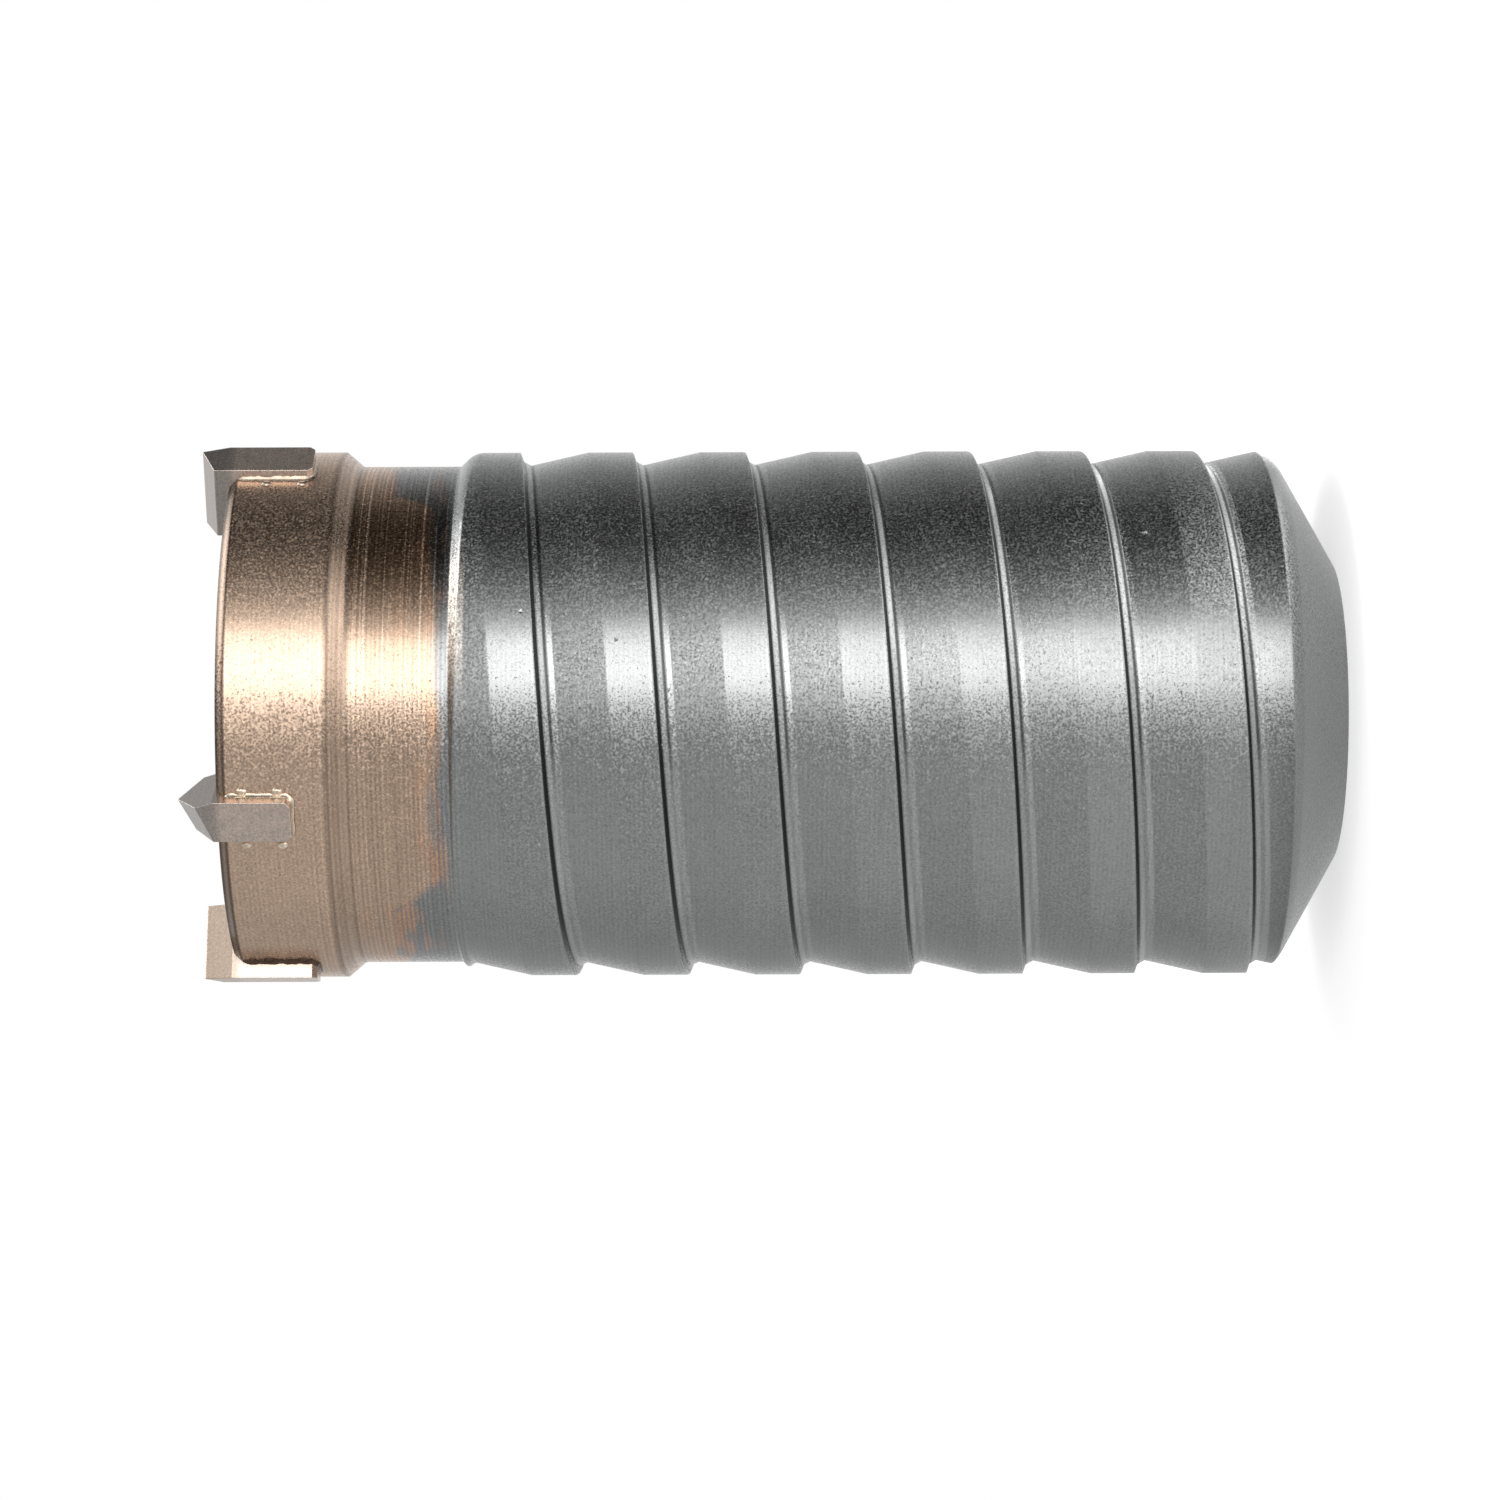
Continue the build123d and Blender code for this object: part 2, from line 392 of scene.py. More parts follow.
def make_floor():
    """A pale disc. Some glow keeps it white in the picture, and the shadow stays on it."""
    mesh = bpy.data.meshes.new("floor")
    form = bmesh.new()
    bmesh.ops.create_circle(form, cap_ends=True, segments=FLOOR_STEPS, radius=FLOOR_RADIUS)
    form.to_mesh(mesh)
    form.free()
    material, tree = emptied_material("floor_white")
    matt = add_node(tree, "ShaderNodeBsdfDiffuse", {"Color": FLOOR_COLOR})
    strength = math_node(tree, "MULTIPLY", seen_directly(tree), FLOOR_GLOW)
    glow = add_node(tree, "ShaderNodeEmission", {"Color": WHITE, "Strength": strength})
    both = add_node(tree, "ShaderNodeAddShader", {0: matt.outputs[0], 1: glow.outputs[0]})
    add_node(tree, "ShaderNodeOutputMaterial", {"Surface": both.outputs[0]})
    mesh.materials.append(material)
    floor = bpy.data.objects.new("floor", mesh)
    scene.collection.objects.link(floor)
    return floor


floor = make_floor()
print("floor radius:", FLOOR_RADIUS, "m")

# %% [markdown]
# The crown was blasted with fine grit, which leaves a sparkling grain of about a fifth of a
# millimetre. Each pit leans its own way. Pits as small as these are lost in a bump, so the
# grain tilts the normal itself: the three parts of a coloured noise are a direction, and the
# tilt grows with the square of its length, so most pits lean a little and a few lean far and
# sparkle. It is a node group, because the carbide and the braze use it too, with their own
# sizes. Its inputs and outputs have names, so that a material reads like a sentence.

# %% Group: fine grain
def new_group(name, inputs, outputs):
    """An empty shader group with named inputs (name, kind, default) and outputs (name, kind)."""
    tree = bpy.data.node_groups.new(name, "ShaderNodeTree")
    for label, kind, default in inputs:
        socket = tree.interface.new_socket(label, in_out="INPUT", socket_type="NodeSocket" + kind)
        if default is not None:
            socket.default_value = default
    for label, kind in outputs:
        tree.interface.new_socket(label, in_out="OUTPUT", socket_type="NodeSocket" + kind)
    source = tree.nodes.new("NodeGroupInput")
    target = tree.nodes.new("NodeGroupOutput")
    return tree, source.outputs, target.inputs


def use_group(tree, group, inputs):
    """Places a node group in a material and returns its outputs."""
    return add_node(tree, "ShaderNodeGroup", inputs, node_tree=group).outputs


def show_group(group):
    """Prints the names of a group's sockets."""
    print("group:", group.name, [item.name for item in group.interface.items_tree])


def stretched(tree, position, across, along):
    """The position scaled across the axis and along it, each by a number or a socket."""
    axes = axes_of(tree, position)
    scaled = {
        name: math_node(tree, "MULTIPLY", axes[name], scale)
        for name, scale in (("X", across), ("Y", across), ("Z", along))
    }
    return add_node(tree, "ShaderNodeCombineXYZ", scaled).outputs[0]


SPARKLE_CONTRAST = (2.4, -0.7)
MIDDLE = (0.5, 0.5, 0.5)


def make_grain_group():
    """Grit marks as a tilted normal and as a shade from 0 to 1, and slow patches."""
    tree, given, result = new_group(
        "fine_grain",
        [
            ("Position", "Vector", None),
            ("Normal", "Vector", None),
            ("Grain Size", "Float", 0.2 * MM),
            ("Tilt", "Float", 2.6),
            ("Patch Size", "Float", 7 * MM),
        ],
        [("Normal", "Vector"), ("Sparkle", "Float"), ("Patches", "Float")],
    )
    scale = math_node(tree, "DIVIDE", 1.0, given["Grain Size"])
    inputs = {"Vector": given["Position"], "Scale": scale, "Detail": 2.0, "Roughness": 0.7}
    fine = add_node(tree, "ShaderNodeTexNoise", inputs).outputs
    tree.links.new(contrasted(tree, fine[0], SPARKLE_CONTRAST), result["Sparkle"])
    direction = vector_node(tree, "SUBTRACT", {0: fine[1], 1: MIDDLE})
    length = vector_node(tree, "LENGTH", {0: direction}, "Value")
    lean = product(tree, length, given["Tilt"])
    leaning = vector_node(tree, "SCALE", {0: direction, "Scale": lean})
    tilted = vector_node(tree, "ADD", {0: given["Normal"], 1: leaning})
    tree.links.new(vector_node(tree, "NORMALIZE", {0: tilted}), result["Normal"])
    slow = math_node(tree, "DIVIDE", 1.0, given["Patch Size"])
    patches = noise(tree, given["Position"], slow, detail=3.0, roughness=0.55)
    tree.links.new(patches, result["Patches"])
    return tree


grain_group = make_grain_group()
show_group(grain_group)

# %% [markdown]
# Under the grain lie the marks of the lathe: fine rings round the axis, some deeper than
# others. Stretching a noise works better than drawing rings, because the rings then come and
# go round the crown as they do on steel. The position is squeezed across the axis and
# stretched along it, so the noise has long marks round the crown and short ones along it.

# %% Group: turning marks
STREAK_WAVES_ACROSS = 20.0


def feed_wave(tree, height, feed):
    """A wave from 0 to 1 along the axis, as long as the feed of the tool."""
    turns = math_node(tree, "DIVIDE", height, feed)
    wave = math_node(tree, "SINE", product(tree, turns, 2 * math.pi))
    return math_node(tree, "MULTIPLY_ADD", wave, 0.5, 0.5)


def make_turning_group():
    """Rings round the axis: even feed marks, and uneven streaks from the tool."""
    tree, given, result = new_group(
        "turning_marks",
        [
            ("Position", "Vector", None),
            ("Feed", "Float", 0.4 * MM),
            ("Streak Width", "Float", 0.2 * MM),
        ],
        [("Feed Height", "Float"), ("Streaks", "Float")],
    )
    height = axes_of(tree, given["Position"])["Z"]
    tree.links.new(feed_wave(tree, height, given["Feed"]), result["Feed Height"])
    narrow = math_node(tree, "DIVIDE", 1.0, given["Streak Width"])
    squeezed = stretched(tree, given["Position"], STREAK_WAVES_ACROSS, narrow)
    streaks = noise(tree, squeezed, 1.0, detail=2.5, roughness=0.6)
    tree.links.new(streaks, result["Streaks"])
    return tree


turning_group = make_turning_group()
show_group(turning_group)

# %% [markdown]
# Brazing heats the head to a bronze colour, which ends in the neck. On the crown in the
# photograph the edge lies lower where the flame played longest, so a curve gives the edge's
# height for each angle round the axis, and a slow noise makes it uneven. Near the edge the
# flux left copper streaks, which run round the neck. Each is a mask from 0 to 1. The group
# also gives the angle, because other curves below go round the axis too.

# %% Group: heat tint
TINT_HEIGHTS = [
    (-180, 82.4),
    (-140, 82.0),
    (-132, 78.9),
    (-90, 78.2),
    (-64, 78.6),
    (-36, 78.9),
    (-31, 82.8),
    (0, 83.0),
    (60, 81.0),
    (120, 80.2),
    (180, 82.4),
]
TINT_SCALE = 100
TINT_WANDER = 1.0 * MM
TINT_WAVES = (150.0, 400.0)
DROP_WAVES = (130.0, 650.0)
DROP_CONTRAST = (9.0, -4.7)
DROP_BETWEEN_LINES = 0.3


def angle_round_axis(tree, axes):
    """The angle round the axis, from -pi to pi, with 0 at +X."""
    return math_node(tree, "ARCTAN2", axes["Y"], axes["X"])


def make_tint_group():
    """Where the steel was hot: the bronze tint, the copper streaks, and the angle in degrees."""
    tree, given, result = new_group(
        "heat_tint",
        [
            ("Position", "Vector", None),
            ("Softness", "Float", 1.1 * MM),
            ("Streak Reach", "Float", 4.5 * MM),
            ("Feed", "Float", 0.4 * MM),
        ],
        [("Tint", "Float"), ("Streaks", "Float"), ("Angle", "Float")],
    )
    position = given["Position"]
    axes = axes_of(tree, position)
    angle = product(tree, angle_round_axis(tree, axes), 180 / math.pi)
    tree.links.new(angle, result["Angle"])

    edge = curve(tree, angle, TINT_HEIGHTS, TINT_SCALE)
    slow = noise(tree, stretched(tree, position, *TINT_WAVES), 1.0)
    uneven = ranged(tree, slow, -TINT_WANDER, TINT_WANDER)
    edge = math_node(tree, "MULTIPLY_ADD", edge, MM, uneven)
    above = math_node(tree, "SUBTRACT", axes["Z"], edge)
    tint = math_node(tree, "DIVIDE", above, given["Softness"], clamp=True)
    tree.links.new(tint, result["Tint"])

    distance = math_node(tree, "DIVIDE", math_node(tree, "ABSOLUTE", above), given["Streak Reach"])
    near_edge = math_node(tree, "SUBTRACT", 1.0, distance, clamp=True)
    drops = noise(tree, stretched(tree, position, *DROP_WAVES), 1.0, detail=1.5)
    spots = contrasted(tree, drops, DROP_CONTRAST)
    lines = ranged(tree, feed_wave(tree, axes["Z"], given["Feed"]), DROP_BETWEEN_LINES, 1.0)
    tree.links.new(product(tree, spots, lines, near_edge), result["Streaks"])
    return tree


tint_group = make_tint_group()
show_group(tint_group)

# %% [markdown]
# The edges of the solids are sharp, and real ones never are. A Bevel node rounds them in the
# shading. Where its normal leaves the surface's own, there is an edge, and that difference is
# also a mask. The carbide and the braze are made lighter there, partly as rubbed wear and
# partly as a painted highlight.

# %% Group: worn edges
def make_edge_group():
    """A normal with rounded edges, and a mask of those edges."""
    tree, given, result = new_group(
        "edges_worn_and_highlit",
        [("Radius", "Float", 0.25 * MM), ("Sharpness", "Float", 6.0)],
        [("Normal", "Vector"), ("Edge", "Float")],
    )
    rounded = add_node(tree, "ShaderNodeBevel", {"Radius": given["Radius"]}, samples=6).outputs[0]
    own = add_node(tree, "ShaderNodeNewGeometry").outputs["Normal"]
    along = vector_node(tree, "DOT_PRODUCT", {0: rounded, 1: own}, "Value")
    leaving = math_node(tree, "SUBTRACT", 1.0, along)
    edge = math_node(tree, "MULTIPLY", leaving, given["Sharpness"], clamp=True)
    tree.links.new(edge, result["Edge"])
    tree.links.new(rounded, result["Normal"])
    return tree


edge_group = make_edge_group()
show_group(edge_group)

# %% [markdown]
# A tool that is handled has a few small dents. The cells of a Voronoi texture are the way to
# strew them: near the middle of each cell lies one dent. A noise moves the position a little
# first, so no dent is a perfect circle.

# %% Group: small nicks
WOBBLE_SCALE = 2500.0
WOBBLE = 0.4 * MM
NICK_MASK_GAIN = 2.5


def make_nick_group():
    """Sparse small dents from handling: a height, and the same as a mask."""
    tree, given, result = new_group(
        "small_nicks",
        [("Position", "Vector", None), ("Spacing", "Float", 6 * MM), ("Size", "Float", 0.04)],
        [("Height", "Float"), ("Mask", "Float")],
    )
    scale = math_node(tree, "DIVIDE", 1.0, given["Spacing"])
    inputs = {"Vector": given["Position"], "Scale": WOBBLE_SCALE, "Detail": 1.0}
    wobble = add_node(tree, "ShaderNodeTexNoise", inputs).outputs["Color"]
    inputs = {0: wobble, 1: (WOBBLE, WOBBLE, WOBBLE), 2: given["Position"]}
    shifted = vector_node(tree, "MULTIPLY_ADD", inputs)
    inputs = {"Vector": shifted, "Scale": scale}
    cells = add_node(tree, "ShaderNodeTexVoronoi", inputs).outputs["Distance"]
    share = math_node(tree, "DIVIDE", cells, given["Size"])
    dent = math_node(tree, "SUBTRACT", 1.0, share, clamp=True)
    tree.links.new(product(tree, dent, -1.0), result["Height"])
    tree.links.new(math_node(tree, "MULTIPLY", dent, NICK_MASK_GAIN, clamp=True), result["Mask"])
    return tree


nick_group = make_nick_group()
show_group(nick_group)

# %% [markdown]
# The groove shows as a few fine lines of light and shade, and the solids don't have all of
# them. A point's place across the groove follows from its height and its angle, since the
# spiral rises one pitch in each turn. With that distance two curves in the steel paint the
# lines: painted shade on the steep flank, painted highlights beside it and in the valley,
# and, on the crown's upper side, painted shade in the valley's corner. A third curve raises
# the hollow fillet of the valley as a bump.

# %% Group: place across the groove
GROOVE_PITCH = 10.0
FIRST_EDGE = 72.55
GROOVE_LEAD = 0.3
UPPER_START = 0.3
UPPER_GAIN = 5.0


def make_groove_group():
    """How far a point lies behind the crest's edge, and whether it lies on the spiral."""
    tree, given, result = new_group(
        "groove_place",
        [
            ("Position", "Vector", None),
            ("Pitch", "Float", GROOVE_PITCH * MM),
            ("First Edge", "Float", FIRST_EDGE * MM),
            ("Least Radius", "Float", 22.27 * MM),
            ("Greatest Height", "Float", 76.45 * MM),
        ],
        [("Distance", "Float"), ("On Spiral", "Float"), ("Upper Side", "Float")],
    )
    axes = axes_of(tree, given["Position"])
    turn = math_node(tree, "DIVIDE", angle_round_axis(tree, axes), 2 * math.pi)
    edge = math_node(tree, "MULTIPLY_ADD", turn, given["Pitch"], given["First Edge"])
    behind = math_node(tree, "ADD", math_node(tree, "SUBTRACT", edge, axes["Z"]), GROOVE_LEAD * MM)
    wrapped = math_node(tree, "WRAP", behind, given["Pitch"], 0.0)
    tree.links.new(math_node(tree, "SUBTRACT", wrapped, GROOVE_LEAD * MM), result["Distance"])
    flat = add_node(tree, "ShaderNodeCombineXYZ", {"X": axes["X"], "Y": axes["Y"]}).outputs[0]
    radius = vector_node(tree, "LENGTH", {0: flat}, "Value")
    outside = math_node(tree, "GREATER_THAN", radius, given["Least Radius"])
    below = math_node(tree, "LESS_THAN", axes["Z"], given["Greatest Height"])
    tree.links.new(product(tree, outside, below), result["On Spiral"])
    upward = math_node(tree, "ADD", math_node(tree, "DIVIDE", axes["X"], radius), UPPER_START)
    upper = math_node(tree, "MULTIPLY", upward, UPPER_GAIN, clamp=True)
    tree.links.new(upper, result["Upper Side"])
    return tree


groove_group = make_groove_group()
show_group(groove_group)

# %% [markdown]
# Steel is a metal, so its base colour is the colour of its reflections: a plain grey here,
# bronze where it was hot, copper in the streaks. One side of the neck is painted darker as
# shade, and bright rings are painted into that shade along the turning streaks as highlights.
# The shoulder beside it has a pale cream painted highlight there. The finish isn't the same
# along the crown: the neck keeps strong turning marks, the coned back is painted darker as
# shade, and the grain's sparkle is painted stronger on one side, so curves over the height
# and over the angle say how much of each there is. The bumps are laid one on another: rounded
# edges, rings, the valley of the groove and the nicks. Last, the grain tilts the normal that
# they give.

# %% Steel
STEEL = (0.295, 0.300, 0.300)
BRONZE = (0.545, 0.402, 0.303)
# Painted shade on one side of the neck: a dark bronze where the steel is tinted, and a near black
# where it is not.
NECK_SHADE_BRONZE = (0.210, 0.130, 0.078)
NECK_SHADE_STEEL = (0.085, 0.075, 0.066)
# Painted highlight on the shoulder, a pale cream.
SHOULDER_HIGHLIGHT_CREAM = (0.60, 0.56, 0.51)
COPPER = (0.62, 0.36, 0.23)
GRAIN_TILT = 2.6
# How strong the grain's speckle is round the axis: painted sparkle, strongest on the side where the
# bright and dark bands lie.
PAINTED_SPARKLE_BY_ANGLE = [
    (-180, 0.5),
    (-100, 0.5),
    (-85, 0.6),
    (-72, 1.1),
    (-60, 1.4),
    (-50, 1.1),
    (-38, 0.8),
    (-25, 0.4),
    (90, 0.6),
    (180, 0.5),
]
EDGE_RADIUS = 0.22 * MM
RING_BUMP = 0.010 * MM
NICK_BUMP = 0.10 * MM
VALLEY_RISE = 0.225 * MM
FEED_SHARE = 0.3
# Bright rings painted along the turning streaks inside the neck's painted shade.
BRIGHT_RING_CONTRAST = (7.0, -3.8)
PATCH_TONES = (0.90, 1.10)
SPECKLE_TONES = (-0.5, 0.5)
STREAK_TONES = (-0.25, 0.25)
FEED_TONES = (-0.11, 0.11)
NICK_TONES = (1.0, 1.5)
# How much lighter the painted bright rings are.
PAINTED_RING_LIGHT_TONES = (1.0, 1.4)
CORNER_PAINTED_DARKNESS = 0.72
COARSENESS = 0.40
# Painted shade by height: the coned back, which faces the floor, is darker.
PAINTED_SHADE_BY_HEIGHT = [(0, 0.66), (5, 0.70), (8.6, 1.0), (76, 1.0)]
# Painted shade at the head: the neck a little darker, and dark lines at the edges of the head's
# cone and along the rim's chamfer.
PAINTED_SHADE_AT_HEAD = [
    (76.4, 1.0),
    (77.6, 1.0),
    (78.0, 0.94),
    (86.1, 0.94),
    (86.35, 0.55),
    (86.7, 0.85),
    (87.2, 0.72),
    (87.7, 0.85),
    (87.9, 0.55),
    (88.15, 0.65),
    (88.3, 1.0),
    (96.5, 1.0),
    (96.60, 0.28),
    (96.80, 0.28),
    (96.92, 0.50),
    (97.10, 0.46),
    (97.22, 0.16),
    (97.40, 0.16),
    (98.0, 0.45),
]
ROUGHNESS_BY_HEIGHT = [(0, 0.19), (76, 0.18), (78, 0.15), (86.5, 0.15), (88.5, 0.18), (101, 0.18)]
RINGS_BY_HEIGHT = [
    (0, 0.10),
    (5.5, 0.10),
    (9, 0.30),
    (76, 0.34),
    (78, 1.0),
    (88, 1.0),
    (90, 0.45),
    (101, 0.45),
]
# Where the shoulder's painted highlight lies, by height and by angle round the axis.
SHOULDER_HIGHLIGHT_BY_HEIGHT = [
    (76.0, 0.0),
    (76.35, 0.0),
    (76.5, 1.0),
    (77.7, 1.0),
    (77.85, 0.0),
    (78.0, 0.0),
]
SHOULDER_HIGHLIGHT_BY_ANGLE = [
    (-180, 0.0),
    (-98, 0.0),
    (-86, 0.1),
    (-76, 1.0),
    (-58, 1.0),
    (-53, 0.2),
    (-48, 0.0),
    (180, 0.0),
]
# Where the neck lies, for its painted shade and for the copper streaks.
NECK_BY_HEIGHT = [(77, 0.0), (77.7, 0.0), (78.3, 1.0), (86.3, 1.0), (86.5, 0.0), (87, 0.0)]
# How strong the painted shade on the neck is round the axis.
NECK_SHADE_BY_ANGLE = [
    (-180, 0.05),
    (-85, 0.05),
    (-68, 0.40),
    (-54, 0.95),
    (-38, 0.90),
    (-22, 0.25),
    (60, 0.3),
    (180, 0.1),
]
# Painted light and shade across the groove, by millimetres behind the crest's edge: a painted
# highlight before the edge, painted shade on the steep flank, painted highlights on the facet and
# lower in the valley.
GROOVE_PAINTED_LIGHT = [
    (-0.3, 1.0),
    (-0.2, 1.12),
    (0.02, 1.05),
    (0.09, 0.20),
    (0.32, 0.10),
    (0.43, 0.85),
    (0.52, 1.25),
    (0.75, 1.25),
    (0.86, 1.0),
    (1.15, 1.0),
    (1.25, 1.20),
    (1.50, 1.20),
    (1.70, 1.0),
    (2.2, 1.0),
]
# Painted shade in the valley's corner, laid on the crown's upper side only.
CORNER_PAINTED_SHADE = [(-0.3, 0.0), (0.78, 0.0), (0.90, 1.0), (1.04, 1.0), (1.18, 0.0), (2.2, 0.0)]
VALLEY_HEIGHT = [
    (-0.3, 0.0),
    (0.0, 0.0),
    (0.3, 1.0),
    (0.95, 1.0),
    (1.2, 0.45),
    (1.65, 0.0),
    (2.2, 0.0),
]


def bumped(tree, height, distance, normal):
    """A bump of some height laid over a normal."""
    inputs = {"Height": height, "Distance": distance, "Strength": 1.0, "Normal": normal}
    return add_node(tree, "ShaderNodeBump", inputs).outputs[0]


def scaled_color(tree, color, shade):
    """A colour made lighter or darker by a factor."""
    return vector_node(tree, "SCALE", {0: color, "Scale": shade})


def metal_material(name):
    """A material whose shader is a bare metal, with the object's own coordinates."""
    material = bpy.data.materials.new(name)
    material.use_nodes = True
    tree = material.node_tree
    shader = tree.nodes["Principled BSDF"]
    shader.inputs["Metallic"].default_value = 1.0
    position = add_node(tree, "ShaderNodeTexCoord").outputs["Object"]
    return material, tree, shader, position


def make_steel():
    """Blasted steel, tinted by the heat of brazing at the head."""
    material, tree, shader, position = metal_material("blasted_steel")
    rings = use_group(tree, turning_group, {"Position": position})
    heat = use_group(tree, tint_group, {"Position": position})
    edges = use_group(tree, edge_group, {"Radius": EDGE_RADIUS})
    nicks = use_group(tree, nick_group, {"Position": position})
    groove = use_group(tree, groove_group, {"Position": position})
    height = math_node(tree, "DIVIDE", axes_of(tree, position)["Z"], MM)
    across = math_node(tree, "DIVIDE", groove["Distance"], MM)
    angle = heat["Angle"]
    ringed = curve(tree, height, RINGS_BY_HEIGHT)

    # The normal
    tops = math_node(tree, "MULTIPLY_ADD", rings["Feed Height"], FEED_SHARE, rings["Streaks"])
    normal = bumped(tree, product(tree, tops, ringed), RING_BUMP, edges["Normal"])
    valley = product(tree, curve(tree, across, VALLEY_HEIGHT), groove["On Spiral"])
    normal = bumped(tree, valley, VALLEY_RISE, normal)
    normal = bumped(tree, nicks["Height"], NICK_BUMP, normal)
    inputs = {"Position": position, "Normal": normal, "Tilt": GRAIN_TILT}
    grain = use_group(tree, grain_group, inputs)
    tree.links.new(grain["Normal"], shader.inputs["Normal"])

    # The colour
    color = mix_colors(tree, heat["Tint"], STEEL, BRONZE)
    on_neck = curve(tree, height, NECK_BY_HEIGHT)
    # Painted shade on one side of the neck, left out along the bright rings.
    neck_shade_side = product(tree, curve(tree, angle, NECK_SHADE_BY_ANGLE), on_neck)
    # Bright rings along the turning streaks: kept out of the neck's painted shade, and lightened
    # below as painted highlights.
    bright_rings = contrasted(tree, rings["Streaks"], BRIGHT_RING_CONTRAST)
    painted_neck_shade = product(tree, neck_shade_side, math_node(tree, "SUBTRACT", 1.0, bright_rings))
    color = mix_colors(tree, painted_neck_shade, color, mix_colors(tree, heat["Tint"], NECK_SHADE_STEEL, NECK_SHADE_BRONZE))
    color = mix_colors(tree, product(tree, heat["Streaks"], on_neck), color, COPPER)
    # Painted highlight: a pale cream on one side of the shoulder.
    on_shoulder = curve(tree, height, SHOULDER_HIGHLIGHT_BY_HEIGHT)
    painted_shoulder_highlight = product(tree, on_shoulder, curve(tree, angle, SHOULDER_HIGHLIGHT_BY_ANGLE))
    color = mix_colors(tree, painted_shoulder_highlight, color, SHOULDER_HIGHLIGHT_CREAM)

    # The shade: how much lighter or darker each thing makes that colour. Besides the grain,
    # patches, rings and nicks, it holds painted shade and painted highlights.
    # Painted shade along the height and at the head.
    along = curve(tree, height, PAINTED_SHADE_BY_HEIGHT)
    painted_shade_at_head = curve(tree, height, PAINTED_SHADE_AT_HEAD)
    patches = ranged(tree, grain["Patches"], *PATCH_TONES)
    # The grain's speckle, made stronger on one side as painted sparkle.
    grit = ranged(tree, grain["Sparkle"], *SPECKLE_TONES)
    grit = product(tree, grit, curve(tree, angle, PAINTED_SPARKLE_BY_ANGLE, top=1.5))
    speckle = math_node(tree, "ADD", grit, 1.0)
    streak_tone = ranged(tree, rings["Streaks"], *STREAK_TONES)
    feed_tone = ranged(tree, rings["Feed Height"], *FEED_TONES)
    ring_tone = math_node(tree, "ADD", streak_tone, feed_tone)
    ring_shade = math_node(tree, "MULTIPLY_ADD", ring_tone, ringed, 1.0)
    # Painted light and shade of the groove, with painted shade in its corner on the upper side.
    corner = product(tree, curve(tree, across, CORNER_PAINTED_SHADE), groove["Upper Side"])
    painted_corner_shade = math_node(tree, "MULTIPLY_ADD", corner, -CORNER_PAINTED_DARKNESS, 1.0)
    lines = product(tree, curve(tree, across, GROOVE_PAINTED_LIGHT, top=1.25), painted_corner_shade)
    lines = math_node(tree, "ADD", lines, -1.0)
    painted_groove_light = math_node(tree, "MULTIPLY_ADD", lines, groove["On Spiral"], 1.0)
    nicked = ranged(tree, nicks["Mask"], *NICK_TONES)
    # Painted highlight along the bright rings on the neck.
    painted_ring_light = ranged(tree, product(tree, bright_rings, neck_shade_side), *PAINTED_RING_LIGHT_TONES)
    shade = product(tree, along, painted_shade_at_head, patches, speckle)
    shade = product(tree, shade, ring_shade, painted_groove_light, nicked, painted_ring_light)
    tree.links.new(scaled_color(tree, color, shade), shader.inputs["Base Color"])

    # The roughness
    coarse = product(tree, math_node(tree, "POWER", grain["Sparkle"], 2.0), COARSENESS)
    rough = math_node(tree, "ADD", curve(tree, height, ROUGHNESS_BY_HEIGHT), coarse)
    tree.links.new(rough, shader.inputs["Roughness"])
    return material


steel = make_steel()
print("steel:", len(steel.node_tree.nodes), "nodes")

# %% [markdown]
# Carbide is paler and warmer than the blasted steel. Its faces are ground, so they have
# straight marks and little grain, and past the rim they are darker, with a brown stain on
# some of the teeth. Braze is a copper alloy: it is the golden line along a tooth, bright
# where it is smooth and brown where the flux burnt on it. At the tooth at -162 degrees that
# brown is darkest, partly as burnt flux and partly as painted shadow where the tooth meets
# the head. The layer inside the slot is burnt darkest. All three are made by one function,
# because they differ only in their numbers.

# %% Carbide and braze
CARBIDE = ((0.49, 0.42, 0.37), (0.58, 0.475, 0.41))
CARBIDE_TIP = (0.32, 0.29, 0.27)
CARBIDE_STAIN = (0.42, 0.33, 0.265)
STAIN_BY_ANGLE = [(-180, 1.0), (-140, 1.0), (-128, 0.1), (-10, 0.1), (180, 1.0)]
BRAZE = ((0.56, 0.46, 0.35), (0.80, 0.69, 0.56))
BURNT_BRAZE = ((0.05, 0.035, 0.025), (0.17, 0.115, 0.07))
# The burnt brown on the braze and its strength round the axis. Near -162 degrees it is also painted
# shadow where the tooth meets the head.
BURNT_AND_SHADOW = (0.10, 0.065, 0.045)
BURNT_AND_SHADOW_BY_ANGLE = [
    (-180, 1.0),
    (-140, 1.0),
    (-128, 0.0),
    (-70, 0.0),
    (-50, 0.45),
    (-10, 0.45),
    (10, 0.4),
    (180, 1.0),
]
GRINDING_WIDTH = 0.16 * MM
GRINDING_BUMP = 0.05 * MM
FINE_PATCH_CONTRAST = (3.0, -1.0)
GRIT_TONES = (0.80, 1.20)
# How much lighter the edges are: partly rubbed wear, partly a painted highlight.
WEAR_AND_HIGHLIGHT_TONES = (1.0, 1.5)
SMOOTHER = 0.08
ROUGHER = 0.10
TIP_START = 96.8
TIP_FADE = 0.8


